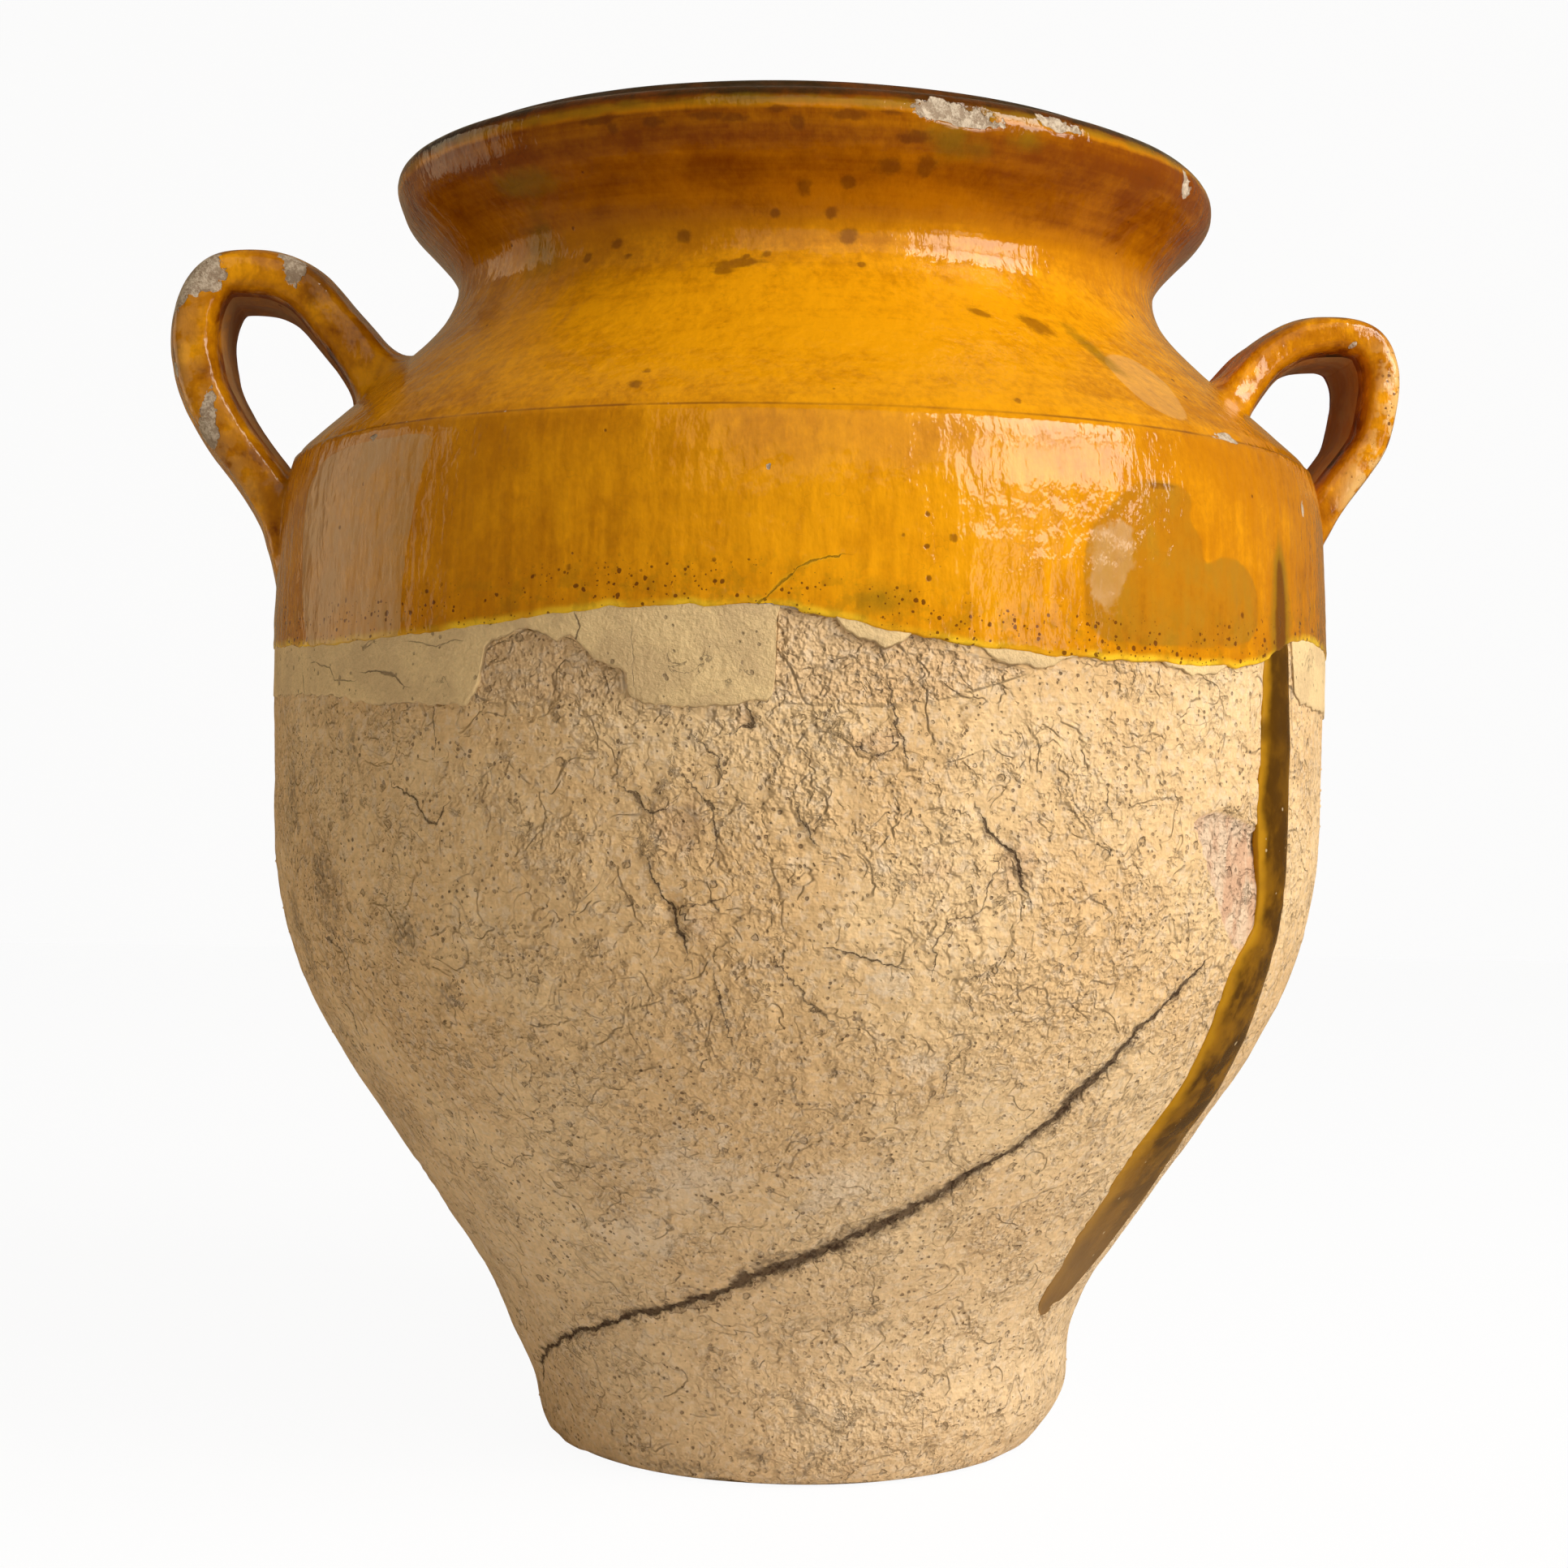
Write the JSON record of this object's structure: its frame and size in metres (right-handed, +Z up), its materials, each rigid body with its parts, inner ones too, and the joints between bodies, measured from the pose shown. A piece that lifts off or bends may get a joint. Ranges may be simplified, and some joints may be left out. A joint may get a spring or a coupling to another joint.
{
  "type": "grease pot",
  "caption": "Ovoid earthenware storage pot on a narrow foot, with a turned shoulder ridge, a flared rolled lip, strap handles, a half dip of glaze over slip and a long glaze run.",
  "frame": {"origin": "centre of the flat underside of the foot, on the wheel's axis", "axes": "+Z up along the wheel's axis to the lip; +X and -X towards the two handles; -Y is the front, where the picture looks from"},
  "size_m": [0.274, 0.2329, 0.28],
  "materials": {
    "bare_clay": "matte",
    "pale_slip": "matte",
    "honey_glaze": "gloss",
    "handle_glaze": "gloss",
    "inner_glaze": "gloss",
    "run_glaze": "gloss"
  },
  "bodies": {
    "root": {"clay_body": "bare_clay", "left_handle": "handle_glaze", "right_handle": "handle_glaze", "slip_coat": "pale_slip", "outer_glaze": "honey_glaze", "inner_glaze": "inner_glaze", "glaze_run": "run_glaze"}
  },
  "joints": []
}
